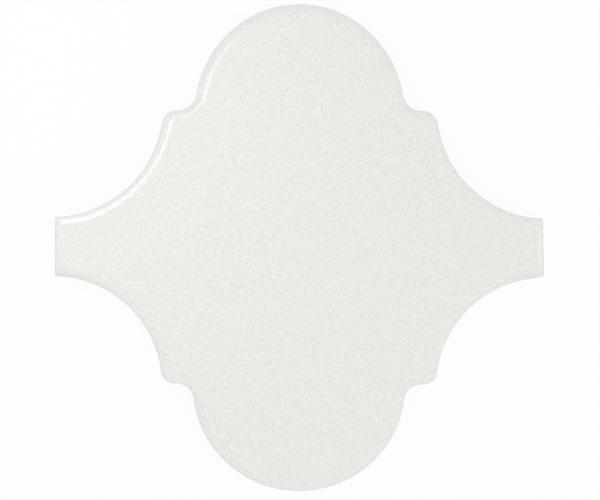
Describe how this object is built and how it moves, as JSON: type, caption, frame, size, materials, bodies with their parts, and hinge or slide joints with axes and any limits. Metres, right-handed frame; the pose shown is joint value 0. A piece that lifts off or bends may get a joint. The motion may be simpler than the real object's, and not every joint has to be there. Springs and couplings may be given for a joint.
{
  "type": "ceramic wall tile",
  "caption": "White glazed arabesque wall tile with round lobes above and below, straight-cut arms left and right, and round bays in which the next row's lobes nest.",
  "frame": {"origin": "centre of the tile's back, on the plane that it lies on", "axes": "+Z out of the glazed face, +X along the arms to the right, +Y along the lobes to the top of the picture"},
  "size_m": [0.12, 0.1196, 0.0083],
  "materials": {
    "white_glaze": "satin"
  },
  "bodies": {
    "root": {"wall_tile": "white_glaze"}
  },
  "joints": []
}
